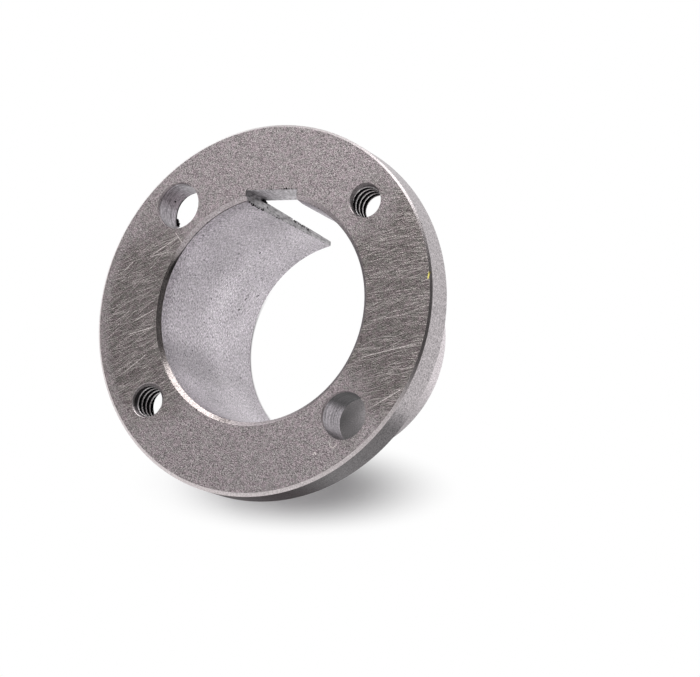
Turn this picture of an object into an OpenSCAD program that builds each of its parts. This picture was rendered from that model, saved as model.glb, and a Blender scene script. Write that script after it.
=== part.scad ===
// Flanged taper bush that clamps a hub on a keyed shaft.
// It stands on the small end of its barrel. The shaft runs along Z, the flange is
// on top with its front face up, and the keyway is at +Y. All sizes are millimetres.

/* [Bore and keyway] */
// Diameter of the shaft that the bush grips
bore_d = 38.1; // [20:0.1:60]
// Width of the keyway, and of the slot that it becomes along the barrel
key_w = 9.525; // [5:0.025:14]
// Depth of the keyway in the flange, measured down its side walls
key_depth = 1.8; // [0.8:0.1:3.5]

/* [Barrel] */
// Length of the barrel from its small end to the flange
barrel_l = 25.4; // [12:0.1:60]
// Wall of the barrel at its small end
small_end_wall = 0.79375; // [0.6:0.05:4]
// Loss of diameter for each millimetre of barrel, three quarters of an inch in a foot
taper = 0.0625; // [0.02:0.0025:0.1]
// Radius of the corner where the barrel runs into the flange
root_fillet = 0.6; // [0.2:0.1:0.7]

/* [Flange] */
// Thickness of the flange
flange_t = 6.35; // [4:0.05:15]
// Metal left between the barrel's large end and the clear holes
inner_land = 0.79375; // [0.75:0.05:6]
// Metal left between the clear holes and the edge of the flange
outer_land = 2.38125; // [1.2:0.05:10]

/* [Screw holes] */
// Diameter of the two plain holes that the clamping screws pass through
clear_hole_d = 7.9375; // [6:0.05:12]
// Diameter of the two tapped holes, at the crests of their threads
tapped_hole_d = 5.1; // [3:0.1:6]
// Direction of the first clear hole from +X; the second is straight across
clear_hole_at = 135; // [118:1:150]
// Direction of the first tapped hole from +X
first_tapped_at = 45; // [15:1:70]
// Direction of the second tapped hole from +X, a little off the square
second_tapped_at = 219; // [195:1:245]

/* [Edges] */
// Chamfer round the mouth of the bore on the front face
bore_chamfer = 0.9; // [0.2:0.1:2]
// Chamfer round the front edge of the flange
front_chamfer = 0.6; // [0.2:0.1:1.1]
// Chamfer round the back edge of the flange
back_chamfer = 0.5; // [0.2:0.1:1.1]
// Chamfer on both edges of the barrel's small end
end_chamfer = 0.25; // [0.1:0.01:0.28]

/* [Hidden] */
$fn = 144;

// How far a cutter runs past the metal that it cuts
overrun = 1;

total_l = barrel_l + flange_t;
bore_r = bore_d / 2;
half_taper = taper / 2;
small_end_r = bore_r + small_end_wall;
large_end_r = small_end_r + half_taper * barrel_l;
clear_hole_r = clear_hole_d / 2;
bolt_circle_r = large_end_r + inner_land + clear_hole_r;
flange_r = bolt_circle_r + clear_hole_r + outer_land;
// Height of the bore's wall where the key's side meets it, and of the keyway's ceiling
key_side_y = sqrt(bore_r * bore_r - key_w * key_w / 4);
key_ceiling_y = key_side_y + key_depth;

// Half section of barrel and flange: radius to the right, height up
module body_section() {
    polygon([
        [bore_r + end_chamfer, 0],
        [small_end_r - end_chamfer, 0],
        [small_end_r + end_chamfer * half_taper, end_chamfer],
        [large_end_r, barrel_l],
        [flange_r - back_chamfer, barrel_l],
        [flange_r, barrel_l + back_chamfer],
        [flange_r, total_l - front_chamfer],
        [flange_r - front_chamfer, total_l],
        [bore_r + bore_chamfer, total_l],
        [bore_r, total_l - bore_chamfer],
        [bore_r, end_chamfer]
    ]);
}

// Half section of the hollow corner between the tapered barrel and the flange's back.
// The arc touches both faces, which meet at a little less than a right angle.
module root_fillet_section() {
    lean = atan(half_taper);
    reach = root_fillet / tan((90 - lean) / 2);
    barrel_touch = [large_end_r - reach * sin(lean), barrel_l - reach * cos(lean)];
    inside_r = large_end_r - small_end_wall;
    inside_z = barrel_l + flange_t / 2;
    difference() {
        polygon([
            barrel_touch,
            [large_end_r + reach, barrel_l],
            [large_end_r + reach, inside_z],
            [inside_r, inside_z],
            [inside_r, barrel_touch.y]
        ]);
        translate([large_end_r + reach, barrel_l - root_fillet])
            circle(r = root_fillet);
    }
}

// The turned blank before any slot or hole is cut
module turned_blank() {
    rotate_extrude() {
        body_section();
        root_fillet_section();
    }
}

// Keyway along the whole bore, up to its ceiling
module keyway_cutter() {
    translate([-key_w / 2, 0, -overrun])
        cube([key_w, key_ceiling_y, total_l + 2 * overrun]);
}

// The keyway breaks out through the thin barrel, which lets the barrel close on the shaft
module slot_cutter() {
    slot_top_y = large_end_r + root_fillet + overrun;
    translate([-key_w / 2, 0, -overrun])
        cube([key_w, slot_top_y, barrel_l + overrun]);
}

// One hole through the flange, on the bolt circle in a given direction
module flange_hole(at, d) {
    rotate([0, 0, at])
        translate([bolt_circle_r, 0, barrel_l - overrun])
            cylinder(d = d, h = flange_t + 2 * overrun);
}

module screw_holes() {
    for (turn = [0, 180])
        flange_hole(clear_hole_at + turn, clear_hole_d);
    for (at = [first_tapped_at, second_tapped_at])
        flange_hole(at, tapped_hole_d);
}

module bush() {
    color([0.52, 0.5, 0.49])
        difference() {
            turned_blank();
            keyway_cutter();
            slot_cutter();
            screw_holes();
        }
}

bush();
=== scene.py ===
import math

import bmesh
import bpy
from mathutils import Matrix, Vector


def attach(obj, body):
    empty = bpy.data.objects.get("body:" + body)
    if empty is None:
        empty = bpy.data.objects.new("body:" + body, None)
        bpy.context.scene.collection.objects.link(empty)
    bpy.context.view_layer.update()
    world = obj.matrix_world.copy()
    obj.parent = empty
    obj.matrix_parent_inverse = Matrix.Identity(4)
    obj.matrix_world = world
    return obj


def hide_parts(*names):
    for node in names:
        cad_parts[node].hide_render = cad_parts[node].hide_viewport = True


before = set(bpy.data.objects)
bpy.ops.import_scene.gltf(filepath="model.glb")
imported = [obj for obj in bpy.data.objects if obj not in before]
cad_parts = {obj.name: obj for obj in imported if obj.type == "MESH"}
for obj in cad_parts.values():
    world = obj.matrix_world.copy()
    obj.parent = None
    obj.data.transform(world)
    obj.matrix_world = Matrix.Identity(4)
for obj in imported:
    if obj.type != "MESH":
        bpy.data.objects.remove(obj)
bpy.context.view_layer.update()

# Sizes of the turned blank, in millimetres
MM = 0.001
BORE_R = 19.05
BARREL_L = 25.4
SMALL_END_R = 19.84375
LARGE_END_R = 20.6375
HALF_TAPER = 0.03125
FLANGE_R = 31.75
TOTAL_L = 31.75
BORE_CHAMFER = 0.93
BORE_CHAMFER_DEPTH = 0.7
MOUTH_WEAR = 0.22
MOUTH_WEAR_L = 2.6
FRONT_CHAMFER = 0.6
CHAMFER_NARROW_AT = 45.0
CHAMFER_LOSS = 0.42
BACK_CHAMFER = 0.5
END_CHAMFER = 0.25
ROOT_FILLET = 0.6
TURNED_FACETS = 288

# Small rounding that the tools and handling leave on the corners
FACE_CORNER = 0.12
BORE_CORNER = 0.1
WEAR_CORNER = 6.0
END_CORNER = 0.05

# Keyway and slot
KEY_HALF_W = 4.7625
KEY_CEILING_Y = 20.245
KEY_MOUTH = 0.16
SLOT_TOP_Y = 22.24
SLOT_TIP = 0.35
SLOT_EDGE_IN_Y = 18.444
SLOT_EDGE_OUT = ((20.066, 25.3), (19.76, 15.5), (19.55, 8.6), (19.34, 1.4))

# Holes on the bolt circle
BOLT_CIRCLE_R = 25.4
CLEAR_R = 3.96875
CLEAR_MOUTH = 0.1
CLEAR_MOUTH_DEPTH = 0.3
CLEAR_MOUTH_SHIFT = (-0.13, 0.05)
CLEAR_AT = 135.0
TAPPED_AT = (45.0, 219.0)
THREAD_CREST_R = 2.55
THREAD_ROOT_R = 3.175
THREAD_PITCH = 1.27
THREAD_CREST_FLAT = 0.14
THREAD_ROOT_FLAT = 0.84
THREAD_START = (0.35, 0.1)
THREAD_MOUTH_R = (2.82, 3.0)
THREAD_MOUTH_DEPTH = 0.5

# How finely the cutters are made, and how far they run past the metal
DRILL_FACETS = 96
TAP_FACETS = 80
TAP_ROWS = 176
TIP_STEPS = 8
RING_STEP = 3.0
OVERCUT = 1.0
TAP_OVERCUT = 0.7

# Shape of the chips and pits, and of the finished mesh
SPECK_SIDES = (0.45, 1.6)
CHIP_ROUNDNESS = 1
CHIP_SEED = 11
PIT_ROUNDNESS = 2
PIT_SEED = 7
MERGE_WITHIN = 1e-5
SHARP_FROM = 28.0

# Brush strokes on the front face, left where x is below 0: direction in degrees and length
BRUSHED_LEFT = ((11.0, 5.0), (19.0, 4.0), (26.0, 6.0), (34.0, 5.0), (45.0, 4.0))
BRUSHED_RIGHT = ((12.0, 3.5), (17.0, 5.0), (22.0, 4.5), (29.0, 3.5))
STROKE_PITCH = 0.22

# Grinding scratches on the front face: start, end and half width
SCRATCHES = (
    ((-22.7, 8.98), (-16.96, 12.6), 0.07),
    ((-22.7, 8.98), (-18.22, 9.98), 0.06),
    ((-27.26, 6.73), (-25.64, 8.31), 0.06),
    ((-19.91, 0.01), (-24.4, -2.44), 0.05),
    ((-19.49, -3.13), (-25.5, -4.71), 0.07),
    ((-20.49, -7.65), (-25.38, -11.51), 0.06),
    ((18.78, -8.58), (30.05, -5.87), 0.05),
    ((-18.05, 13.32), (-16.18, 11.18), 0.07),
    ((22.57, -16.62), (28.48, -13.1), 0.07),
)

# Single pits and torn specks: place and size
BORE_PITS = (
    (147.8, 24.45, 0.14),
    (130.8, 11.87, 0.24),
    (157.2, 6.25, 0.2),
    (153.0, 3.11, 0.15),
    (164.2, 6.99, 0.15),
    (196.0, 21.4, 0.11),
    (178.0, 17.3, 0.1),
    (226.0, 19.6, 0.12),
)
TORN_SPECKS = (
    (-4.75, 19.3, 24.3, 0.16),
    (-4.75, 19.0, 22.9, 0.12),
    (-4.72, 20.12, 25.5, 0.3),
    (-4.74, 20.0, 24.9, 0.24),
)
HOLE_PITS = (
    (135.0, 150.8, 27.42, 0.17),
    (315.0, 158.3, 27.66, 0.12),
    (315.0, 140.2, 26.42, 0.1),
    (315.0, 181.2, 26.95, 0.08),
)
RIM_PITS = ((26.2, 31.3, 0.12), (341.0, 28.2, 0.08), (8.0, 27.4, 0.09), (310.0, 27.0, 0.08))

# Small struck marks on the front face, drawn as pale lines: painted highlights where their edges catch the
# light
DENT_HIGHLIGHTS = (
    ((15.94, -22.48), (15.89, -22.88), (16.16, -23.19), (16.64, -23.24), (16.98, -23.02), (17.05, -22.61)),
    ((13.01, -24.5), (13.24, -24.11), (13.55, -24.29), (13.51, -24.53)),
)
DENT_HIGHLIGHT_HALF_W = 0.1

# Yellow fleck of paint on the edge of the face
PAINT_FLECK = ((30.72, 4.75), (30.9, 5.95), 0.13)

# Camera that the photograph was taken from
CAMERA_AT = (0.20312827, -0.07933387, 0.38350986)
CAMERA_RIGHT = (0.8887018, 0.09827925, -0.44782842)
CAMERA_UP = (-0.00336456, 0.97812721, 0.20798038)
CAMERA_FORWARD = (-0.45847332, 0.18332579, -0.86959408)
CAMERA_LENS = 127.577


# Small helpers for node trees

def plug(tree, value, socket):
    if isinstance(value, bpy.types.NodeSocket):
        tree.links.new(value, socket)
    else:
        socket.default_value = value


def add_node(tree, kind, sockets=None, **settings):
    made = tree.nodes.new(kind)
    for name, value in settings.items():
        setattr(made, name, value)
    for name, value in (sockets or {}).items():
        plug(tree, value, made.inputs[name])
    return made


def calc(tree, operation, first, second=0.0, clamp=False):
    made = add_node(tree, "ShaderNodeMath", {0: first, 1: second}, operation=operation)
    made.use_clamp = clamp
    return made.outputs[0]


def times(tree, first, *others):
    for other in others:
        first = calc(tree, "MULTIPLY", first, other)
    return first


def strongest(tree, marks, most=0.0):
    for mark in marks:
        most = calc(tree, "MAXIMUM", most, mark)
    return most


def distance(tree, x, y):
    return calc(tree, "SQRT", calc(tree, "ADD", times(tree, x, x), times(tree, y, y)))


def off_middle(tree, value):
    return calc(tree, "ABSOLUTE", calc(tree, "SUBTRACT", calc(tree, "FRACT", value), 0.5))


def vector_calc(tree, operation, first, second=(0.0, 0.0, 0.0), result="Vector"):
    return add_node(tree, "ShaderNodeVectorMath", {0: first, 1: second}, operation=operation).outputs[result]


def split_xyz(tree, place):
    made = add_node(tree, "ShaderNodeSeparateXYZ", {0: place})
    return made.outputs[0], made.outputs[1], made.outputs[2]


def join_xyz(tree, x, y, z=0.0):
    return add_node(tree, "ShaderNodeCombineXYZ", {0: x, 1: y, 2: z}).outputs[0]


def ramp(tree, value, low, high, to_low=0.0, to_high=1.0, smooth=True):
    kind = "SMOOTHSTEP" if smooth else "LINEAR"
    sockets = {"Value": value, "From Min": low, "From Max": high, "To Min": to_low, "To Max": to_high}
    return add_node(tree, "ShaderNodeMapRange", sockets, interpolation_type=kind).outputs[0]


# Noise stays within some reach of a half, over which the tone made of it runs from low to high
def spread(tree, grain, low, high, reach=0.18):
    return ramp(tree, grain, 0.5 - reach, 0.5 + reach, low, high, smooth=False)


def mix(tree, share, first, second):
    return add_node(tree, "ShaderNodeMix", {"Factor": share, 2: first, 3: second}).outputs[0]


def blend(tree, share, first, second):
    first, second = [(*value, 1.0) if isinstance(value, tuple) else value for value in (first, second)]
    return add_node(tree, "ShaderNodeMix", {0: share, 6: first, 7: second}, data_type="RGBA").outputs[2]


def rgb(tree, colour):
    made = add_node(tree, "ShaderNodeRGB")
    made.outputs[0].default_value = (*colour, 1.0)
    return made.outputs[0]


def scaled(tree, vector, factor):
    sockets = {0: vector, "Scale": factor}
    return add_node(tree, "ShaderNodeVectorMath", sockets, operation="SCALE").outputs[0]


def open_geometry_tree(name, inputs):
    tree = bpy.data.node_groups.new(name, "GeometryNodeTree")
    tree.is_modifier = True
    for label, kind in inputs:
        tree.interface.new_socket(label, in_out="INPUT", socket_type=kind)
    tree.interface.new_socket("Shape", in_out="OUTPUT", socket_type="NodeSocketGeometry")
    return tree, add_node(tree, "NodeGroupInput")


def close_geometry_tree(tree, shape, metal):
    real = add_node(tree, "GeometryNodeRealizeInstances", {"Geometry": shape})
    painted = add_node(tree, "GeometryNodeSetMaterial", {"Geometry": real.outputs[0], "Material": metal})
    end = add_node(tree, "NodeGroupOutput")
    tree.links.new(painted.outputs[0], end.inputs[0])


# Turning, boring and tapping, all in millimetres

def new_object(name, verts, edges, faces):
    mesh = bpy.data.meshes.new(name)
    mesh.from_pydata(verts, edges, faces)
    made = bpy.data.objects.new(name, mesh)
    bpy.context.scene.collection.objects.link(made)
    return made


def run_tree(obj, tree, values):
    step = obj.modifiers.new("made_by_rule", "NODES")
    step.node_group = tree
    for item in tree.interface.items_tree:
        if item.in_out == "INPUT" and item.name in values:
            step[item.identifier] = values[item.name]
    return settle(obj)


def settle(obj):
    graph = bpy.context.evaluated_depsgraph_get()
    graph.update()
    mesh = bpy.data.meshes.new_from_object(obj.evaluated_get(graph))
    obj.modifiers.clear()
    obj.data = mesh
    return obj


def rounded_corner(before, corner, after, radius, steps):
    to_before = (before - corner).normalized()
    to_after = (after - corner).normalized()
    half = to_before.angle(to_after) / 2
    reach = radius / math.tan(half)
    start = corner + to_before * reach
    stop = corner + to_after * reach
    centre = corner + (to_before + to_after).normalized() * (radius / math.sin(half))
    arc = []
    for step in range(steps + 1):
        share = step / steps
        chord = start.lerp(stop, share) - centre
        first = start - centre
        last = stop - centre
        whole = first.angle(last)
        if whole > 1e-6:
            chord = (first * math.sin((1 - share) * whole) + last * math.sin(share * whole)) / math.sin(whole)
        arc.append(centre + chord)
    guard = min(0.05, reach)
    return [start + to_before * guard] + arc + [stop + to_after * guard]


def rounded_section(corners):
    points = []
    count = len(corners)
    for index, (radius, height, rounding, steps) in enumerate(corners):
        before = Vector(corners[index - 1][:2])
        after = Vector(corners[(index + 1) % count][:2])
        points += rounded_corner(before, Vector((radius, height)), after, rounding, steps)
    return points


# Corners of the blank's section: radius, height, rounding and steps of the rounding
def blank_corners():
    end_r = SMALL_END_R + END_CHAMFER * HALF_TAPER
    return [
        (BORE_R + END_CHAMFER, 0.0, END_CORNER, 2),
        (SMALL_END_R - END_CHAMFER, 0.0, END_CORNER, 2),
        (end_r, END_CHAMFER, END_CORNER, 2),
        (LARGE_END_R, BARREL_L, ROOT_FILLET, 8),
        (FLANGE_R - BACK_CHAMFER, BARREL_L, FACE_CORNER, 3),
        (FLANGE_R, BARREL_L + BACK_CHAMFER, FACE_CORNER, 3),
        (FLANGE_R, TOTAL_L - FRONT_CHAMFER, FACE_CORNER, 3),
        (FLANGE_R - FRONT_CHAMFER, TOTAL_L, FACE_CORNER, 3),
        (BORE_R + BORE_CHAMFER, TOTAL_L, BORE_CORNER, 3),
        (BORE_R + MOUTH_WEAR, TOTAL_L - BORE_CHAMFER_DEPTH, BORE_CORNER, 3),
        (BORE_R, TOTAL_L - MOUTH_WEAR_L, WEAR_CORNER, 4),
        (BORE_R, END_CHAMFER, END_CORNER, 2),
    ]


# Radius of the circle that carries the section round
LATHE_R = 25.0


def lathe_tree():
    tree, given = open_geometry_tree("turned_on_the_lathe", [
        ("Section", "NodeSocketGeometry"),
        ("Facets", "NodeSocketInt"),
        ("Path radius", "NodeSocketFloat"),
        ("Metal", "NodeSocketMaterial"),
    ])
    section = add_node(tree, "GeometryNodeMeshToCurve", {"Mesh": given.outputs["Section"]})
    sockets = {"Resolution": given.outputs["Facets"], "Radius": given.outputs["Path radius"]}
    path = add_node(tree, "GeometryNodeCurvePrimitiveCircle", sockets)
    level = add_node(tree, "GeometryNodeSetCurveNormal", {"Curve": path.outputs[0]}, mode="Z_UP")
    sockets = {"Curve": level.outputs[0], "Profile Curve": section.outputs[0]}
    turned = add_node(tree, "GeometryNodeCurveToMesh", sockets)
    close_geometry_tree(tree, turned.outputs[0], given.outputs["Metal"])
    return tree


def turn(name, tree, points, facets, iron):
    verts = [(p.x - LATHE_R, -p.y, 0.0) for p in points]
    edges = [(i, (i + 1) % len(verts)) for i in range(len(verts))]
    made = new_object(name, verts, edges, [])
    return run_tree(made, tree, {"Facets": facets, "Path radius": LATHE_R, "Metal": iron})


def tap_tree():
    tree, given = open_geometry_tree("screw_tap", [
        ("Geometry", "NodeSocketGeometry"),
        ("Facets", "NodeSocketInt"),
        ("Rows", "NodeSocketInt"),
        ("Low end", "NodeSocketFloat"),
        ("High end", "NodeSocketFloat"),
        ("Crest radius", "NodeSocketFloat"),
        ("Root radius", "NodeSocketFloat"),
        ("Pitch", "NodeSocketFloat"),
        ("Crest share", "NodeSocketFloat"),
        ("Root share", "NodeSocketFloat"),
        ("Start", "NodeSocketFloat"),
        ("Face height", "NodeSocketFloat"),
        ("Mouth radius", "NodeSocketFloat"),
        ("Mouth depth", "NodeSocketFloat"),
        ("Across", "NodeSocketFloat"),
        ("Along", "NodeSocketFloat"),
        ("Metal", "NodeSocketMaterial"),
    ])
    out = given.outputs
    length = calc(tree, "SUBTRACT", out["High end"], out["Low end"])
    middle = times(tree, calc(tree, "ADD", out["High end"], out["Low end"]), 0.5)
    sockets = {"Vertices": out["Facets"], "Side Segments": out["Rows"], "Radius": 1.0, "Depth": length}
    rod = add_node(tree, "GeometryNodeMeshCylinder", sockets, fill_type="NGON")
    x, y, z = split_xyz(tree, add_node(tree, "GeometryNodeInputPosition").outputs[0])
    height = calc(tree, "ADD", z, middle)
    turned = calc(tree, "DIVIDE", calc(tree, "ARCTAN2", y, x), math.tau)
    turns = calc(tree, "SUBTRACT", calc(tree, "DIVIDE", height, out["Pitch"]), turned)
    off_crest = times(tree, off_middle(tree, calc(tree, "ADD", turns, out["Start"])), 2.0)
    groove = ramp(tree, off_crest, out["Crest share"], out["Root share"],
                  out["Crest radius"], out["Root radius"], smooth=False)
    above = calc(tree, "SUBTRACT", height, out["Face height"])
    widening = calc(tree, "SUBTRACT", out["Mouth radius"], out["Crest radius"])
    slope = calc(tree, "DIVIDE", widening, out["Mouth depth"])
    mouth = calc(tree, "ADD", out["Mouth radius"], times(tree, above, slope))
    radius = calc(tree, "MAXIMUM", groove, mouth)
    across = calc(tree, "ADD", times(tree, x, radius), out["Across"])
    along = calc(tree, "ADD", times(tree, y, radius), out["Along"])
    sockets = {"Geometry": rod.outputs["Mesh"], "Position": join_xyz(tree, across, along, height)}
    cut = add_node(tree, "GeometryNodeSetPosition", sockets)
    close_geometry_tree(tree, cut.outputs[0], out["Metal"])
    return tree


def tap(name, tree, at, start, mouth_r, iron):
    made = new_object(name, [], [], [])
    turned = math.radians(at)
    return run_tree(made, tree, {
        "Metal": iron,
        "Facets": TAP_FACETS,
        "Rows": TAP_ROWS,
        "Low end": BARREL_L - TAP_OVERCUT,
        "High end": TOTAL_L + TAP_OVERCUT,
        "Crest radius": THREAD_CREST_R,
        "Root radius": THREAD_ROOT_R,
        "Pitch": THREAD_PITCH,
        "Crest share": THREAD_CREST_FLAT,
        "Root share": THREAD_ROOT_FLAT,
        "Start": start,
        "Face height": TOTAL_L,
        "Mouth radius": mouth_r,
        "Mouth depth": THREAD_MOUTH_DEPTH,
        "Across": BOLT_CIRCLE_R * math.cos(turned),
        "Along": BOLT_CIRCLE_R * math.sin(turned),
    })


# A clear hole's cutter, from sections of radius, height and share of the mouth's shift
def drill(at, wall, mouth):
    flare = CLEAR_MOUTH
    sections = [
        (CLEAR_R + flare, BARREL_L - OVERCUT, 0.0),
        (CLEAR_R + flare * 0.6, BARREL_L, 0.0),
        (CLEAR_R, BARREL_L + flare * 0.6, 0.0),
        (CLEAR_R, TOTAL_L - CLEAR_MOUTH_DEPTH, 0.0),
        (CLEAR_R + flare * 0.15, TOTAL_L - CLEAR_MOUTH_DEPTH * 0.8, 0.2),
        (CLEAR_R + flare, TOTAL_L, 1.0),
        (CLEAR_R + flare + OVERCUT, TOTAL_L + OVERCUT, 1.0),
    ]
    facets = DRILL_FACETS
    centre = Vector(round_place(BOLT_CIRCLE_R, at, 0.0))
    shift = Vector((*CLEAR_MOUTH_SHIFT, 0.0))
    verts = []
    for radius, height, share in sections:
        for step in range(facets):
            angle = math.tau * step / facets
            arm = Vector((radius * math.cos(angle), radius * math.sin(angle), height))
            verts.append(centre + shift * share + arm)
    rows = len(sections)
    faces = [tuple(reversed(range(facets))), tuple((rows - 1) * facets + s for s in range(facets))]
    for row in range(rows - 1):
        for step in range(facets):
            near = row * facets + step
            far = row * facets + (step + 1) % facets
            faces.append((near, far, far + facets, near + facets))
    made = new_object("drill", verts, [], faces)
    made.data.materials.append(wall)
    made.data.materials.append(mouth)
    for facet in made.data.polygons:
        facet.material_index = int(facet.center.z > TOTAL_L - CLEAR_MOUTH_DEPTH)
    return made


def key_outline(half, top, height):
    return [(-half, 0, height), (half, 0, height), (half, top, height), (-half, top, height)]


def key_cutter(iron):
    tip = []
    for step in range(TIP_STEPS + 1):
        angle = math.radians(90 * step / TIP_STEPS)
        tip.append((KEY_HALF_W + SLOT_TIP * (1 - math.sin(angle)), SLOT_TIP * (1 - math.cos(angle))))
    levels = [(tip[0][0], -OVERCUT)] + tip
    verts = []
    for half, height in levels:
        verts += key_outline(half, SLOT_TOP_Y, height)
    count = len(levels)
    faces = [(0, 3, 2, 1)]
    for row in range(count - 1):
        low = row * 4
        for side in range(4):
            after = (side + 1) % 4
            faces.append((low + side, low + after, low + 4 + after, low + 4 + side))
    top = (count - 1) * 4
    back = len(verts)
    half = KEY_HALF_W
    verts += [(half, SLOT_TOP_Y, BARREL_L), (-half, SLOT_TOP_Y, BARREL_L)]
    verts += [(half, KEY_CEILING_Y, BARREL_L), (-half, KEY_CEILING_Y, BARREL_L)]
    verts += key_outline(half, KEY_CEILING_Y, TOTAL_L - KEY_MOUTH)
    flare = KEY_MOUTH + OVERCUT
    verts += key_outline(half + flare, KEY_CEILING_Y + flare, TOTAL_L + OVERCUT)
    a, b = back, back + 4
    faces.append((top + 2, top + 3, a + 1, a))
    faces.append((a, a + 1, a + 3, a + 2))
    faces.append((top + 1, top + 2, a, a + 2, b + 2, b + 1))
    faces.append((top + 3, top, b, b + 3, a + 3, a + 1))
    faces.append((a + 2, a + 3, b + 3, b + 2))
    faces.append((top, top + 1, b + 1, b))
    for side in range(4):
        after = (side + 1) % 4
        faces.append((b + side, b + after, b + 4 + after, b + 4 + side))
    faces.append((b + 4, b + 5, b + 6, b + 7))
    made = new_object("key_cutter", verts, [], faces)
    made.data.materials.append(iron)
    return made


def random_vector(tree, low, high, seed):
    sockets = {0: (low,) * 3, 1: (high,) * 3, "Seed": seed}
    return add_node(tree, "FunctionNodeRandomValue", sockets, data_type="FLOAT_VECTOR").outputs[0]


def uneven_specks(tree, points, size, roundness, seed):
    speck = add_node(tree, "GeometryNodeMeshIcoSphere", {"Radius": 1.0, "Subdivisions": roundness})
    scale = scaled(tree, random_vector(tree, *SPECK_SIDES, seed), size)
    spin = random_vector(tree, 0.0, 6.28, seed)
    sockets = {"Points": points, "Instance": speck.outputs[0], "Scale": scale, "Rotation": spin}
    return add_node(tree, "GeometryNodeInstanceOnPoints", sockets).outputs[0]


def pit_tree():
    tree, given = open_geometry_tree("single_pits", [
        ("Places", "NodeSocketGeometry"),
        ("Roundness", "NodeSocketInt"),
        ("Seed", "NodeSocketInt"),
        ("Metal", "NodeSocketMaterial"),
    ])
    out = given.outputs
    size = add_node(tree, "GeometryNodeInputNamedAttribute", {"Name": "size"}, data_type="FLOAT").outputs[0]
    points = add_node(tree, "GeometryNodeMeshToPoints", {"Mesh": out["Places"]})
    placed = uneven_specks(tree, points.outputs[0], size, out["Roundness"], out["Seed"])
    close_geometry_tree(tree, placed, out["Metal"])
    return tree


def ragged_edge_tree():
    tree, given = open_geometry_tree("ragged_edge", [
        ("Edge", "NodeSocketGeometry"),
        ("Spacing", "NodeSocketFloat"),
        ("Smallest", "NodeSocketFloat"),
        ("Largest", "NodeSocketFloat"),
        ("Wander", "NodeSocketFloat"),
        ("Roundness", "NodeSocketInt"),
        ("Seed", "NodeSocketInt"),
        ("Metal", "NodeSocketMaterial"),
    ])
    out = given.outputs
    line = add_node(tree, "GeometryNodeMeshToCurve", {"Mesh": out["Edge"]})
    sockets = {"Curve": line.outputs[0], "Length": out["Spacing"]}
    points = add_node(tree, "GeometryNodeCurveToPoints", sockets, mode="LENGTH")
    away = scaled(tree, random_vector(tree, -1.0, 1.0, out["Seed"]), out["Wander"])
    moved = add_node(tree, "GeometryNodeSetPosition", {"Geometry": points.outputs[0], "Offset": away})
    sockets = {2: out["Smallest"], 3: out["Largest"], "Seed": calc(tree, "ADD", out["Seed"], 5.0)}
    size = add_node(tree, "FunctionNodeRandomValue", sockets, data_type="FLOAT").outputs[1]
    placed = uneven_specks(tree, moved.outputs[0], size, out["Roundness"], out["Seed"])
    close_geometry_tree(tree, placed, out["Metal"])
    return tree


def ring_piece(radius, height, start, stop, centre_at=None):
    count = max(2, int(abs(stop - start) / RING_STEP))
    steps = [start + (stop - start) * i / count for i in range(count + 1)]
    return [round_place(radius, at, height, centre_at) for at in steps]


# Edges that the tools tore
def ragged_edges():
    side = -KEY_HALF_W
    outer = [(side, y, z) for y, z in SLOT_EDGE_OUT]
    top = TOTAL_L
    low = TOTAL_L - BORE_CHAMFER_DEPTH
    lip = BORE_R + MOUTH_WEAR
    key_top = KEY_CEILING_Y + KEY_MOUTH
    # Each row: line, spacing, smallest, largest, wander
    return [
        ([(side, SLOT_EDGE_IN_Y, 31.1), (side, SLOT_EDGE_IN_Y, 27.0)], 0.6, 0.2, 0.4, 0.12),
        ([(side, SLOT_EDGE_IN_Y, 27.0), (side, SLOT_EDGE_IN_Y, 20.0)], 0.75, 0.12, 0.32, 0.16),
        ([(side, SLOT_EDGE_IN_Y, 20.0), (side, SLOT_EDGE_IN_Y, 3.0)], 1.5, 0.06, 0.17, 0.08),
        ([(side, 19.0, 27.0), (side, 18.8, 21.0)], 1.1, 0.08, 0.2, 0.35),
        (outer[0:2], 0.8, 0.06, 0.15, 0.06),
        ([(side, 19.5, 14.5), (side, 19.32, 9.0)], 0.5, 0.2, 0.42, 0.14),
        (outer[2:4], 1.4, 0.03, 0.08, 0.04),
        ([(-4.6, key_top, top), (-1.6, key_top, top)], 0.5, 0.04, 0.09, 0.05),
        ([(-1.0, key_top, top), (1.9, key_top, top)], 0.8, 0.08, 0.17, 0.06),
        ([(2.4, key_top, top), (4.7, key_top, top)], 0.42, 0.08, 0.19, 0.07),
        ([(KEY_HALF_W + 0.1, 20.2, top), (KEY_HALF_W + 0.1, 19.0, top)], 0.25, 0.08, 0.15, 0.05),
        (ring_piece(lip, low, 212.0, 264.0), 1.5, 0.08, 0.2, 0.08),
        (ring_piece(lip, low, 264.0, 290.0), 0.8, 0.06, 0.14, 0.06),
        (ring_piece(lip, low + 0.05, 102.0, 150.0), 0.3, 0.08, 0.12, 0.02),
        (ring_piece(BORE_R + BORE_CHAMFER, top, 215.0, 262.0), 1.2, 0.05, 0.12, 0.05),
        (ring_piece(lip, low + 0.05, 30.0, 75.0), 0.3, 0.08, 0.12, 0.02),
    ]


# Torn metal that stands out from an edge
def burrs():
    side = -KEY_HALF_W + 0.03
    back = BARREL_L + 0.08
    return [
        (ring_piece(CLEAR_R, back, 194.0, 207.0, CLEAR_AT), 0.2, 0.2, 0.36, 0.08),
        ([(side, 20.08, 26.0), (side, 20.0, 24.6)], 0.28, 0.14, 0.28, 0.08),
    ]


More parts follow.
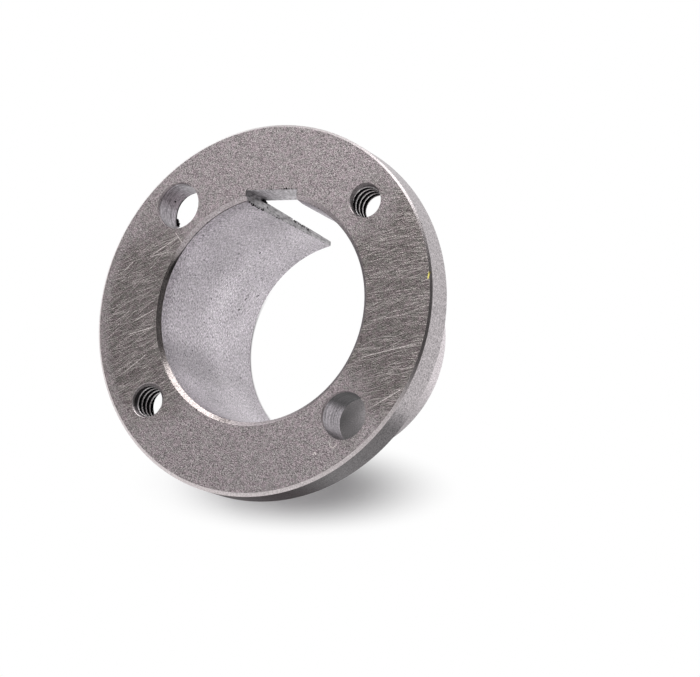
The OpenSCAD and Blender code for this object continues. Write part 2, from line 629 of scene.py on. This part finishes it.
def broken_bits(name, rows, iron):
    tree = ragged_edge_tree()
    bits = []
    for number, (line, spacing, smallest, largest, wander) in enumerate(rows):
        edges = [(i, i + 1) for i in range(len(line) - 1)]
        made = new_object(name, line, edges, [])
        bits.append(run_tree(made, tree, {
            "Spacing": spacing,
            "Smallest": smallest,
            "Largest": largest,
            "Wander": wander,
            "Roundness": CHIP_ROUNDNESS,
            "Seed": CHIP_SEED + number,
            "Metal": iron,
        }))
    return bits


def round_place(radius, at, height, centre_at=None):
    turned = math.radians(at)
    x, y = radius * math.cos(turned), radius * math.sin(turned)
    if centre_at is not None:
        middle = math.radians(centre_at)
        x += BOLT_CIRCLE_R * math.cos(middle)
        y += BOLT_CIRCLE_R * math.sin(middle)
    return (x, y, height)


def pits(iron):
    spots = [(round_place(BORE_R, at, height), size) for at, height, size in BORE_PITS]
    spots += [((x, y, z), size) for x, y, z, size in TORN_SPECKS]
    spots += [(round_place(CLEAR_R, at, height, hole), size) for hole, at, height, size in HOLE_PITS]
    spots += [(round_place(FLANGE_R, at, height), size) for at, height, size in RIM_PITS]
    made = new_object("pits", [place for place, size in spots], [], [])
    sizes = made.data.attributes.new("size", "FLOAT", "POINT")
    sizes.data.foreach_set("value", [size for place, size in spots])
    return run_tree(made, pit_tree(), {"Roundness": PIT_ROUNDNESS, "Seed": PIT_SEED, "Metal": iron})


def work_metal(blank, tools, operation):
    for cutter in tools:
        face_out(cutter)
        step = blank.modifiers.new("worked", "BOOLEAN")
        step.operation = operation
        step.solver = "MANIFOLD"
        step.material_mode = "TRANSFER"
        step.object = cutter
        settle(blank)
        bpy.data.objects.remove(cutter)


def face_out(obj):
    work = bmesh.new()
    work.from_mesh(obj.data)
    bmesh.ops.remove_doubles(work, verts=work.verts, dist=MERGE_WITHIN)
    bmesh.ops.recalc_face_normals(work, faces=work.faces)
    work.to_mesh(obj.data)
    work.free()


# Chips that lie wholly inside the metal, and pockets between burrs, leave small closed shells
def drop_inner_shells(obj):
    work = bmesh.new()
    work.from_mesh(obj.data)
    waiting = set(work.faces)
    shells = []
    while waiting:
        shell = [waiting.pop()]
        for facet in shell:
            for edge in facet.edges:
                for other in edge.link_faces:
                    if other in waiting:
                        waiting.discard(other)
                        shell.append(other)
        shells.append(shell)
    largest = max(shells, key=len)
    inner = [facet for shell in shells if shell is not largest for facet in shell]
    bmesh.ops.delete(work, geom=inner, context="FACES")
    work.to_mesh(obj.data)
    work.free()


# Metals

# The way towards which painted shade darkens the turned rim and the barrel
PAINTED_SHADE_WAY = (0.26, -0.966, 0.0)

# No metal gives back more light than this
PALEST = (0.97, 0.97, 0.97)

# Plain metals: colour, roughness, unevenness of tone, and scale and depth of the grain
PLAIN_IRONS = {
    "back_iron": ((0.44, 0.41, 0.415), 0.45, 0.26, 3.0, 0.04),
    "hole_mouth_iron": ((0.55, 0.49, 0.505), 0.55, 0.35, 4.2, 0.05),
    "pit_iron": ((0.03, 0.027, 0.029), 0.6, 0.3, 3.0, 0.01),
}


def millimetres(tree):
    place = add_node(tree, "ShaderNodeTexCoord").outputs["Object"]
    return vector_calc(tree, "MULTIPLY", place, (1 / MM,) * 3)


def noise(tree, place, scale, detail=2.0, rough=0.5, distort=0.0):
    sockets = {"Vector": place, "Scale": scale, "Detail": detail, "Roughness": rough, "Distortion": distort}
    return add_node(tree, "ShaderNodeTexNoise", sockets).outputs[0]


def stretched(tree, place, turn_deg, along, across, bend=0.0):
    sockets = {"Vector": place, "Angle": math.radians(-turn_deg)}
    turned = add_node(tree, "ShaderNodeVectorRotate", sockets, rotation_type="Z_AXIS").outputs[0]
    x, y = split_xyz(tree, turned)[:2]
    side = calc(tree, "ADD", y, times(tree, x, x, bend))
    return join_xyz(tree, calc(tree, "DIVIDE", x, along), calc(tree, "DIVIDE", side, across))


def towards(tree, place, turn_deg):
    return vector_calc(tree, "DOT_PRODUCT", place, round_place(1.0, turn_deg, 0.0), "Value")


# Straight fine strokes side by side, each in its own row and of its own strength
def strokes(tree, place, turn_deg, length, pitch, share, bend=0.0):
    x, y = split_xyz(tree, stretched(tree, place, turn_deg, length, pitch, bend))[:2]
    row = calc(tree, "FLOOR", y)
    sockets = {"W": calc(tree, "ADD", row, turn_deg)}
    start = add_node(tree, "ShaderNodeTexWhiteNoise", sockets, noise_dimensions="1D").outputs["Value"]
    spot = calc(tree, "ADD", x, times(tree, start, 9.0))
    cell = join_xyz(tree, row, calc(tree, "FLOOR", spot), turn_deg)
    pick = add_node(tree, "ShaderNodeTexWhiteNoise", {"Vector": cell}, noise_dimensions="3D").outputs["Value"]
    across = ramp(tree, off_middle(tree, y), 0.05, 0.26, 1.0, 0.0)
    along = ramp(tree, off_middle(tree, spot), 0.2, 0.48, 1.0, 0.0)
    return times(tree, across, along, ramp(tree, pick, share * 0.3, share, 1.0, 0.0))


def scratch(tree, place, start, end, half_width, whole=0.6):
    along = Vector(end) - Vector(start)
    middle = (Vector(start) + Vector(end)) / 2
    turned = math.atan2(along.y, along.x)
    sockets = {"Vector": place, "Location": (*middle, 0.0), "Rotation": (0.0, 0.0, turned)}
    laid = add_node(tree, "ShaderNodeMapping", sockets, vector_type="TEXTURE").outputs[0]
    x, y = split_xyz(tree, laid)[:2]
    reach = along.length / 2
    ends = ramp(tree, calc(tree, "ABSOLUTE", x), reach * whole, reach + half_width, 0.85, 0.0)
    sides = ramp(tree, calc(tree, "ABSOLUTE", y), half_width * 0.4, half_width * 1.6, 1.0, 0.0)
    return times(tree, ends, sides)


def round_the_axis(tree, place):
    x, y, z = split_xyz(tree, place)
    angle = calc(tree, "ARCTAN2", x, times(tree, y, -1.0))
    radius = distance(tree, x, y)
    return times(tree, angle, radius), radius, z


def metal(name):
    made = bpy.data.materials.new(name)
    made.use_nodes = True
    tree = made.node_tree
    tree.nodes.clear()
    end = add_node(tree, "ShaderNodeOutputMaterial")
    shader = add_node(tree, "ShaderNodeBsdfPrincipled")
    tree.links.new(shader.outputs[0], end.inputs[0])
    shader.inputs["Metallic"].default_value = 1.0
    return made, tree, shader


def relief(tree, shader, height, depth_mm):
    sockets = {"Height": height, "Distance": depth_mm * MM, "Strength": 1.0}
    bump = add_node(tree, "ShaderNodeBump", sockets)
    tree.links.new(bump.outputs[0], shader.inputs["Normal"])


def set_finish(tree, shader, colour, roughness):
    plug(tree, vector_calc(tree, "MINIMUM", colour, PALEST), shader.inputs["Base Color"])
    plug(tree, roughness, shader.inputs["Roughness"])


def fleck(tree, place, colour):
    share = calc(tree, "MULTIPLY", scratch(tree, place, *PAINT_FLECK), 1.4, clamp=True)
    height = split_xyz(tree, place)[2]
    share = times(tree, share, ramp(tree, height, TOTAL_L - 1.2, TOTAL_L - 0.8))
    return blend(tree, share, colour, (0.62, 0.55, 0.15))


def blasted_face():
    made, tree, shader = metal("front_face_iron")
    place = millimetres(tree)
    grain = noise(tree, place, 4.8, 2.0, 0.6, 0.6)
    brushed = noise(tree, stretched(tree, place, 22.0, 1.4, 0.2), 1.0, 2.0, 0.6)
    tint = noise(tree, place, 1.5, 2.0, 0.5)
    x, y = split_xyz(tree, place)[:2]
    radius = distance(tree, x, y)
    edge = noise(tree, place, 0.12, 2.0, 0.5)
    leaning = calc(tree, "SUBTRACT", calc(tree, "ABSOLUTE", x), times(tree, y, 0.1))
    side = calc(tree, "DIVIDE", leaning, radius)
    swept = calc(tree, "ADD", side, times(tree, calc(tree, "SUBTRACT", edge, 0.5), 0.5))
    on_right = ramp(tree, x, 0.0, 1.0)
    swept = calc(tree, "ADD", swept, times(tree, calc(tree, "SUBTRACT", 1.0, on_right), 0.04))
    swept = calc(tree, "ADD", swept, times(tree, on_right, ramp(tree, y, 2.0, 14.0, 0.0, 0.13)))
    pale_edge = calc(tree, "MAXIMUM", on_right, ramp(tree, radius, 28.6, 30.6, 1.0, 0.35))
    ground = times(tree, ramp(tree, swept, 0.7, 0.95), pale_edge)
    rough_tone = spread(tree, grain, 0.38, 1.62)
    fine_tone = times(tree, spread(tree, brushed, 0.6, 1.4), spread(tree, grain, 0.6, 1.4))
    open_colour = blend(tree, ramp(tree, tint, 0.35, 0.65), (0.3, 0.257, 0.27), (0.285, 0.262, 0.262))
    ground_colour = blend(tree, ramp(tree, tint, 0.35, 0.65), (0.146, 0.123, 0.125), (0.137, 0.127, 0.12))
    open_colour = scaled(tree, open_colour, rough_tone)
    colour = blend(tree, ground, open_colour, scaled(tree, ground_colour, fine_tone))
    left = strongest(tree, (strokes(tree, place, *line, STROKE_PITCH, 0.26) for line in BRUSHED_LEFT))
    right = strongest(tree, (strokes(tree, place, *line, STROKE_PITCH, 0.2, 0.003) for line in BRUSHED_RIGHT))
    ticks = strokes(tree, place, 14.0, 1.7, 0.3, 0.5, 0.004)
    right = strongest(tree, [times(tree, ticks, ramp(tree, radius, 29.4, 30.4))], right)
    marks = times(tree, mix(tree, on_right, left, right), times(tree, ground, 0.55))
    marks = strongest(tree, (scratch(tree, place, *line) for line in SCRATCHES), marks)
    # Painted highlights on the edges of the struck marks
    for line in DENT_HIGHLIGHTS:
        pieces = zip(line, line[1:])
        marks = strongest(tree, (scratch(tree, place, *piece, DENT_HIGHLIGHT_HALF_W, 1.0) for piece in pieces), marks)
    colour = blend(tree, marks, colour, (0.56, 0.51, 0.5))
    roughness = ramp(tree, ground, 0.0, 1.0, 0.52, 0.42, smooth=False)
    set_finish(tree, shader, fleck(tree, place, colour), roughness)
    relief(tree, shader, grain, 0.09)
    return made


def partly_smooth_chamfer():
    made, tree, shader = metal("bore_chamfer_iron")
    place = millimetres(tree)
    x, y = split_xyz(tree, place)[:2]
    along = towards(tree, place, 206.0)
    cleanly_cut = ramp(tree, along, 19.5 * math.cos(math.radians(60)), 19.5 * math.cos(math.radians(50)))
    grain = noise(tree, place, 4.2, 2.0, 0.6, 0.5)
    rough_tone = ramp(tree, grain, 0.3, 0.7, 0.62, 1.38, smooth=False)
    # Painted shade: the smooth part of the chamfer gets darker towards 220 degrees
    lower_left_shade = ramp(tree, towards(tree, place, 220.0), 17.0, 19.2, 1.0, 0.62)
    smooth_tone = times(tree, spread(tree, grain, 0.5, 1.4), lower_left_shade)
    # Painted light: the rough part of the chamfer gets lighter towards 120 degrees
    rough_tone = times(tree, rough_tone, ramp(tree, towards(tree, place, 120.0), 8.0, 16.0, 1.0, 1.6))
    colour = blend(tree, cleanly_cut, scaled(tree, rgb(tree, (0.5, 0.455, 0.465)), rough_tone),
                   scaled(tree, rgb(tree, (0.58, 0.52, 0.51)), smooth_tone))
    # Painted shade: the whole chamfer gets darker towards -12 degrees
    right_side_shade = ramp(tree, towards(tree, place, -12.0), 9.0, 16.0, 1.0, 0.58)
    colour = scaled(tree, colour, right_side_shade)
    # Painted shade: a thin dark line along the lip, on the side towards 126 degrees
    above_lip = calc(tree, "SUBTRACT", distance(tree, x, y), ramp(tree, along, 9.0, 14.0, 19.3, 19.6))
    lip_side = ramp(tree, towards(tree, place, 126.0), 14.5, 16.5)
    lip_shade_line = times(tree, lip_side, ramp(tree, above_lip, 0.0, 0.1, 0.85, 0.0))
    colour = blend(tree, lip_shade_line, colour, (0.05, 0.044, 0.045))
    set_finish(tree, shader, colour, ramp(tree, cleanly_cut, 0.0, 1.0, 0.55, 0.2, smooth=False))
    depth = times(tree, grain, ramp(tree, cleanly_cut, 0.0, 1.0, 1.0, 0.12, smooth=False))
    relief(tree, shader, depth, 0.07)
    return made


def turned_rim():
    made, tree, shader = metal("rim_iron")
    place = millimetres(tree)
    grain = noise(tree, place, 3.7, 2.0, 0.6, 0.4)
    # Painted shade: the rim's colour and the tint of its reflection get darker on its side towards -Y, where
    # it mirrors the floor's shadow
    around = vector_calc(tree, "DOT_PRODUCT", place, PAINTED_SHADE_WAY, "Value")
    front = times(tree, split_xyz(tree, place)[1], -1.0)
    tone = times(tree, spread(tree, grain, 0.5, 1.5), ramp(tree, around, 21.6, 25.6, 0.96, 0.28),
                 ramp(tree, front, 26.0, 31.6, 1.0, 0.35))
    front_shade_tint = blend(tree, ramp(tree, front, 27.0, 31.4), (1.0, 1.0, 1.0), (0.5, 0.47, 0.48))
    tree.links.new(front_shade_tint, shader.inputs["Specular Tint"])
    set_finish(tree, shader, fleck(tree, place, scaled(tree, rgb(tree, (0.49, 0.453, 0.466)), tone)), 0.4)
    relief(tree, shader, grain, 0.04)
    return made


def rim_chamfer():
    made, tree, shader = metal("rim_chamfer_iron")
    place = millimetres(tree)
    cleanly_cut = ramp(tree, towards(tree, place, 38.0), 8.0, 20.0)
    smooth = calc(tree, "MAXIMUM", cleanly_cut, ramp(tree, towards(tree, place, 102.0), 8.0, 20.0))
    grain = noise(tree, place, 4.0, 2.0, 0.6, 0.4)
    tone = spread(tree, grain, 0.8, 1.2, 0.2)
    # Painted highlight: the rough chamfer gets paler towards 112 degrees, at the top of the rim
    top_highlight = ramp(tree, towards(tree, place, 112.0), 18.0, 27.0)
    pale = blend(tree, top_highlight, (0.84, 0.78, 0.785), (0.96, 0.92, 0.925))
    colour = blend(tree, cleanly_cut, pale, (0.5, 0.46, 0.465))
    roughness = ramp(tree, smooth, 0.0, 1.0, 0.6, 0.28, smooth=False)
    set_finish(tree, shader, fleck(tree, place, scaled(tree, colour, tone)), roughness)
    relief(tree, shader, times(tree, grain, roughness), 0.08)
    return made


def tapered_barrel():
    made, tree, shader = metal("barrel_iron")
    place = millimetres(tree)
    grain = noise(tree, place, 4.6, 2.0, 0.6, 0.3)
    height = split_xyz(tree, place)[2]
    around = vector_calc(tree, "DOT_PRODUCT", place, PAINTED_SHADE_WAY, "Value")
    # Painted shade: the barrel gets darker up towards the flange, which shades it, and on its side towards -Y
    tone = times(tree, spread(tree, grain, 0.6, 1.4), ramp(tree, height, 14.0, 21.5, 1.15, 0.42),
                 ramp(tree, around, 9.0, 18.5, 1.1, 0.55), ramp(tree, around, 17.4, 19.7, 1.1, 0.5))
    set_finish(tree, shader, scaled(tree, rgb(tree, (0.52, 0.48, 0.495)), tone), 0.4)
    relief(tree, shader, grain, 0.04)
    return made


def bored_wall():
    made, tree, shader = metal("bore_iron")
    place = millimetres(tree)
    arc, radius, z = round_the_axis(tree, place)
    along = join_xyz(tree, times(tree, arc, 2.7), times(tree, z, 6.0), radius)
    grain = noise(tree, along, 1.0, 1.0, 0.6, 0.6)
    cloud = noise(tree, place, 0.1, 1.0, 0.5)
    # Painted light: a darker band at arc -22.3 mm, and a painted highlight around arc -31.6 mm and height 13
    # mm
    from_band = calc(tree, "ABSOLUTE", calc(tree, "ADD", arc, 22.3))
    shade_band = times(tree, ramp(tree, from_band, 0.8, 5.0, 0.3, 0.0), ramp(tree, z, 9.0, 22.0, 0.25, 1.0))
    from_gleam = calc(tree, "ADD", calc(tree, "ABSOLUTE", calc(tree, "ADD", arc, 31.6)),
                      calc(tree, "ABSOLUTE", calc(tree, "SUBTRACT", z, 13.0)))
    gleam = ramp(tree, from_gleam, 1.0, 12.0, 0.2, 0.0)
    lit = calc(tree, "SUBTRACT", calc(tree, "ADD", gleam, 1.0), shade_band)
    specks = ramp(tree, noise(tree, place, 1.7, 1.0, 0.5), 0.24, 0.3, 0.35, 1.0)
    tone = times(tree, spread(tree, grain, 0.4, 1.6), spread(tree, cloud, 0.88, 1.12), lit, specks)
    tint = blend(tree, noise(tree, place, 0.8, 2.0, 0.5), (0.545, 0.495, 0.545), (0.525, 0.5, 0.52))
    set_finish(tree, shader, scaled(tree, tint, tone), 0.42)
    relief(tree, shader, grain, 0.06)
    return made


def keyway_wall():
    made, tree, shader = metal("keyway_iron")
    place = millimetres(tree)
    x, _, z = split_xyz(tree, place)
    streaks = noise(tree, vector_calc(tree, "MULTIPLY", place, (3.5, 3.5, 0.9)), 1.0, 3.0, 0.6, 0.4)
    tone = spread(tree, streaks, 0.45, 1.55)
    # Painted shade: the ceiling gets darker towards its corner at -X, and the side walls are darker all over
    near_corner = ramp(tree, x, -KEY_HALF_W, -KEY_HALF_W + 3.2, 0.75, 1.12)
    on_side = ramp(tree, calc(tree, "ABSOLUTE", x), KEY_HALF_W - 0.02, KEY_HALF_W - 0.01)
    side_tone = ramp(tree, z, 5.0, 31.0, 0.65, 0.61)
    key_shade = mix(tree, on_side, near_corner, side_tone)
    base = blend(tree, streaks, (0.56, 0.53, 0.55), (0.53, 0.52, 0.53))
    set_finish(tree, shader, scaled(tree, base, times(tree, tone, key_shade)), 0.42)
    relief(tree, shader, streaks, 0.035)
    return made


def plain_iron(name):
    colour, roughness, unevenness, scale, depth = PLAIN_IRONS[name]
    made, tree, shader = metal(name)
    place = millimetres(tree)
    grain = noise(tree, place, scale, 3.0, 0.6, 0.3)
    base = blend(tree, noise(tree, place, 0.5, 2.0, 0.5), colour, tuple(c * 0.94 for c in colour))
    tone = spread(tree, grain, 1 - unevenness, 1 + unevenness, 0.25)
    set_finish(tree, shader, scaled(tree, base, tone), roughness)
    relief(tree, shader, grain, depth)
    return made


def drilled_wall():
    made, tree, shader = metal("drilled_iron")
    place = millimetres(tree)
    y, z = split_xyz(tree, place)[1:]
    rings = noise(tree, vector_calc(tree, "MULTIPLY", place, (0.2, 0.2, 5.0)), 1.0, 3.0, 0.6)
    grain = noise(tree, place, 3.0, 2.0, 0.5)
    # Painted shade: the part of the wall towards +Y is darker in the hole at 315 degrees
    centre = round_place(BOLT_CIRCLE_R, CLEAR_AT + 180, 0.0)
    upper = towards(tree, vector_calc(tree, "SUBTRACT", place, centre), 92.0)
    upper_wall_shade = times(tree, ramp(tree, upper, 1.5, 3.0), ramp(tree, y, -1.0, 1.0, 1.0, 0.0))
    tone = times(tree, spread(tree, rings, 0.4, 1.6), spread(tree, grain, 0.6, 1.4, 0.2),
                 ramp(tree, upper_wall_shade, 0.0, 1.0, 0.98, 0.16, smooth=False))
    base = blend(tree, grain, (0.325, 0.29, 0.318), (0.3, 0.285, 0.3))
    # Painted shade: the far edge of the hole at 135 degrees is dark on its side towards 168 degrees, where a
    # burr stands in shade
    uneven_height = calc(tree, "ADD", z, times(tree, grain, 0.3))
    burr_shade = times(tree, ramp(tree, uneven_height, BARREL_L + 0.4, BARREL_L + 0.65, 1.0, 0.0),
                 ramp(tree, towards(tree, place, 168.0), 23.8, 24.6))
    set_finish(tree, shader, blend(tree, burr_shade, scaled(tree, base, tone), (0.03, 0.027, 0.029)), 0.33)
    relief(tree, shader, rings, 0.03)
    return made


def tapped_wall():
    made, tree, shader = metal("thread_iron")
    place = millimetres(tree)
    crest_highlight = 0.0
    for at in TAPPED_AT:
        arm = vector_calc(tree, "SUBTRACT", place, round_place(BOLT_CIRCLE_R, at, 0.0))
        off = distance(tree, *split_xyz(tree, arm)[:2])
        near = ramp(tree, off, THREAD_CREST_R + 0.02, THREAD_CREST_R + 0.13, 1.0, 0.0)
        crest_highlight = calc(tree, "MAXIMUM", crest_highlight, near)
    grain = noise(tree, place, 4.0, 3.0, 0.6)
    tone = spread(tree, grain, 0.6, 1.4, 0.2)
    height = split_xyz(tree, place)[2]
    # Painted light: bright crests are painted highlights, the grooves are painted shade that darkens deeper
    # in the hole, and a pale line at the top edge is a painted highlight
    near_face = ramp(tree, height, TOTAL_L - 1.6, TOTAL_L - 0.5)
    groove = blend(tree, near_face, (0.014, 0.013, 0.014), (0.14, 0.125, 0.13))
    colour = blend(tree, crest_highlight, groove, (0.95, 0.9, 0.91))
    colour = blend(tree, ramp(tree, height, TOTAL_L - 0.5, TOTAL_L - 0.4), colour, (0.27, 0.245, 0.25))
    colour = blend(tree, ramp(tree, height, TOTAL_L - 0.09, TOTAL_L - 0.05), colour, (0.8, 0.73, 0.74))
    set_finish(tree, shader, scaled(tree, colour, tone), 0.45)
    relief(tree, shader, grain, 0.02)
    return made


def make_metals():
    return {
        "face": blasted_face(),
        "bore": bored_wall(),
        "chamfer": partly_smooth_chamfer(),
        "rim": turned_rim(),
        "rim_chamfer": rim_chamfer(),
        "barrel": tapered_barrel(),
        "back": plain_iron("back_iron"),
        "drilled": drilled_wall(),
        "mouth": plain_iron("hole_mouth_iron"),
        "key": keyway_wall(),
        "thread": tapped_wall(),
        "pit": plain_iron("pit_iron"),
    }


# Which metal a facet of the turned blank gets, from its middle and the way it faces

def surface_of(place, facing):
    radius = math.hypot(place.x, place.y)
    outward = (place.x * facing.x + place.y * facing.y) / max(radius, 1e-6)
    if facing.z > 0.94 and place.z > TOTAL_L - 0.1:
        return "face"
    if radius < BORE_R + MOUTH_WEAR + 0.03 and outward < -0.97:
        return "bore"
    if place.z > TOTAL_L - BORE_CHAMFER_DEPTH - 0.1 and radius < BORE_R + BORE_CHAMFER + 0.1:
        return "chamfer"
    if radius > FLANGE_R - 0.05 and abs(facing.z) < 0.3:
        return "rim"
    if radius > FLANGE_R - FRONT_CHAMFER - 0.15:
        return "rim_chamfer"
    if place.z < BARREL_L and outward > 0.05:
        return "barrel"
    return "back"


def dress(blank, metals):
    names = ("face", "bore", "chamfer", "rim", "rim_chamfer", "barrel", "back")
    blank.data.materials.clear()
    for name in names:
        blank.data.materials.append(metals[name])
    for facet in blank.data.polygons:
        facet.material_index = names.index(surface_of(facet.center, facet.normal))


def keep_metals_apart(obj):
    work = bmesh.new()
    work.from_mesh(obj.data)
    for facet in work.faces:
        if abs(facet.normal.z) > 0.9995:
            facet.smooth = False
    for edge in work.edges:
        if len({facet.material_index for facet in edge.link_faces}) > 1:
            edge.smooth = False
    work.to_mesh(obj.data)
    work.free()


# The front chamfer was turned off centre, so its width changes round the rim
def uneven_rim_chamfer(blank):
    for vertex in blank.data.vertices:
        place = vertex.co
        radius = math.hypot(place.x, place.y)
        reach = FRONT_CHAMFER + 0.3
        if radius < FLANGE_R - reach or place.z < TOTAL_L - reach:
            continue
        turned = math.atan2(place.y, place.x) - math.radians(CHAMFER_NARROW_AT)
        share = 1.0 - CHAMFER_LOSS * (0.5 + 0.5 * math.cos(turned))
        grown = (FLANGE_R - (FLANGE_R - radius) * share) / radius
        place.x *= grown
        place.y *= grown
        place.z = TOTAL_L - (TOTAL_L - place.z) * share


def make_bush():
    metals = make_metals()
    bush = turn("taper_bush", lathe_tree(), rounded_section(blank_corners()), TURNED_FACETS, metals["back"])
    face_out(bush)
    dress(bush, metals)
    uneven_rim_chamfer(bush)
    taps = tap_tree()
    cutters = [key_cutter(metals["key"])]
    for turned in (0, 180):
        cutters.append(drill(CLEAR_AT + turned, metals["drilled"], metals["mouth"]))
    for at, start, mouth_r in zip(TAPPED_AT, THREAD_START, THREAD_MOUTH_R):
        cutters.append(tap("tap", taps, at, start, mouth_r, metals["thread"]))
    cutters += broken_bits("chips", ragged_edges(), metals["pit"])
    cutters.append(pits(metals["pit"]))
    work_metal(bush, cutters, "DIFFERENCE")
    # The burrs are made of the near-black pit metal, which paints the shade they stand in
    work_metal(bush, broken_bits("burrs", burrs(), metals["pit"]), "UNION")
    face_out(bush)
    drop_inner_shells(bush)
    bush.data.transform(Matrix.Scale(MM, 4))
    bush.data.shade_smooth()
    bush.data.set_sharp_from_angle(angle=math.radians(SHARP_FROM))
    keep_metals_apart(bush)
    bush.data.update()
    return bush


# Floor, light and camera

# The way to the dark card among the lamps
DARK_WAY = Vector((0.87, 0.13, 0.46)).normalized()

# The point that the lamps face
LAMPS_AIM = (0, 0, 0.02)

# Grey parts of the floor sheet, in metres: middle, reach, and where each starts and ends fading
SHADES = (
    ((-0.0087, -0.0252, 0.0), (0.0338, 0.009), 0.26, 1.02),
    ((-0.014, -0.009, 0.0), (0.026, 0.02), 0.5, 1.0),
)


FLOOR_HALF_W = 3.0

# The floor seen through the bore is white up to here
BORE_FLOOR_R = (0.0188, 0.0192)


def pale_floor():
    far = FLOOR_HALF_W
    corners = [(-far, -far, 0), (far, -far, 0), (far, far, 0), (-far, far, 0)]
    floor = new_object("floor", corners, [], [(0, 1, 2, 3)])
    made = bpy.data.materials.new("pale_floor")
    made.use_nodes = True
    tree = made.node_tree
    tree.nodes.clear()
    paint = add_node(tree, "ShaderNodeBsdfDiffuse", {"Color": (0.96, 0.96, 0.97, 1.0)})
    glow = add_node(tree, "ShaderNodeEmission", {"Color": (1.0, 1.0, 1.0, 1.0), "Strength": 1.0})
    path = add_node(tree, "ShaderNodeLightPath")
    seen = calc(tree, "ADD", path.outputs["Is Camera Ray"], path.outputs["Is Glossy Ray"])
    seen = calc(tree, "ADD", seen, path.outputs["Is Transmission Ray"], clamp=True)
    place = add_node(tree, "ShaderNodeTexCoord").outputs["Object"]
    away = vector_calc(tree, "LENGTH", place, result="Value")
    outside = 1.0
    for middle, (wide, deep), start, stop in SHADES:
        arm = vector_calc(tree, "SUBTRACT", place, middle)
        arm = vector_calc(tree, "MULTIPLY", arm, (1 / wide, 1 / deep, 0.0))
        reach = vector_calc(tree, "LENGTH", arm, result="Value")
        outside = calc(tree, "MINIMUM", outside, ramp(tree, reach, start, stop))
    white = calc(tree, "MAXIMUM", ramp(tree, away, *BORE_FLOOR_R, 1.0, 0.0), outside)
    sockets = {0: times(tree, seen, white), 1: paint.outputs[0], 2: glow.outputs[0]}
    mixed = add_node(tree, "ShaderNodeMixShader", sockets)
    end = add_node(tree, "ShaderNodeOutputMaterial")
    tree.links.new(mixed.outputs[0], end.inputs[0])
    floor.data.materials.append(made)


def soft_lamp(name, way, away, wide, tall, power):
    data = bpy.data.lights.new(name, "AREA")
    data.shape = "RECTANGLE"
    data.size = wide
    data.size_y = tall
    data.energy = power
    lamp = bpy.data.objects.new(name, data)
    way = Vector(way).normalized()
    lamp.location = way * away + Vector(LAMPS_AIM)
    lamp.rotation_mode = "QUATERNION"
    lamp.rotation_quaternion = way.to_track_quat("Z", "Y")
    bpy.context.scene.collection.objects.link(lamp)


def studio_world():
    world = bpy.data.worlds.new("studio")
    bpy.context.scene.world = world
    world.use_nodes = True
    tree = world.node_tree
    tree.nodes.clear()
    way = add_node(tree, "ShaderNodeTexCoord").outputs["Generated"]
    to_card = vector_calc(tree, "DOT_PRODUCT", way, DARK_WAY, "Value")
    sweep = ramp(tree, split_xyz(tree, way)[2], 0.06, 0.28, 1.0, 0.47)
    dim = times(tree, sweep, ramp(tree, to_card, 0.78, 0.86, 1.0, 0.2))
    sky = add_node(tree, "ShaderNodeBackground", {"Color": (1.0, 0.99, 0.995, 1.0), "Strength": dim})
    end = add_node(tree, "ShaderNodeOutputWorld")
    tree.links.new(sky.outputs[0], end.inputs[0])


def place_camera():
    data = bpy.data.cameras.new("camera")
    data.sensor_width = 36.0
    data.lens = CAMERA_LENS
    data.clip_start = 0.01
    data.clip_end = 20.0
    camera = bpy.data.objects.new("camera", data)
    turn_rows = zip(CAMERA_RIGHT, CAMERA_UP, (-v for v in CAMERA_FORWARD))
    camera.matrix_world = Matrix.Translation(CAMERA_AT) @ Matrix([list(row) for row in turn_rows]).to_4x4()
    bpy.context.scene.collection.objects.link(camera)
    bpy.context.scene.camera = camera


place_camera()
bush = make_bush()
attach(bush, "root")
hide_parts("bush")

pale_floor()
studio_world()
soft_lamp("top_softbox", (0.05, 1.0, 0.3), 0.9, 1.0, 0.35, 3.0)
soft_lamp("key_softbox", (-0.14, 0.49, 0.86), 0.9, 0.35, 0.35, 4.0)
bpy.context.scene.view_settings.view_transform = "Standard"
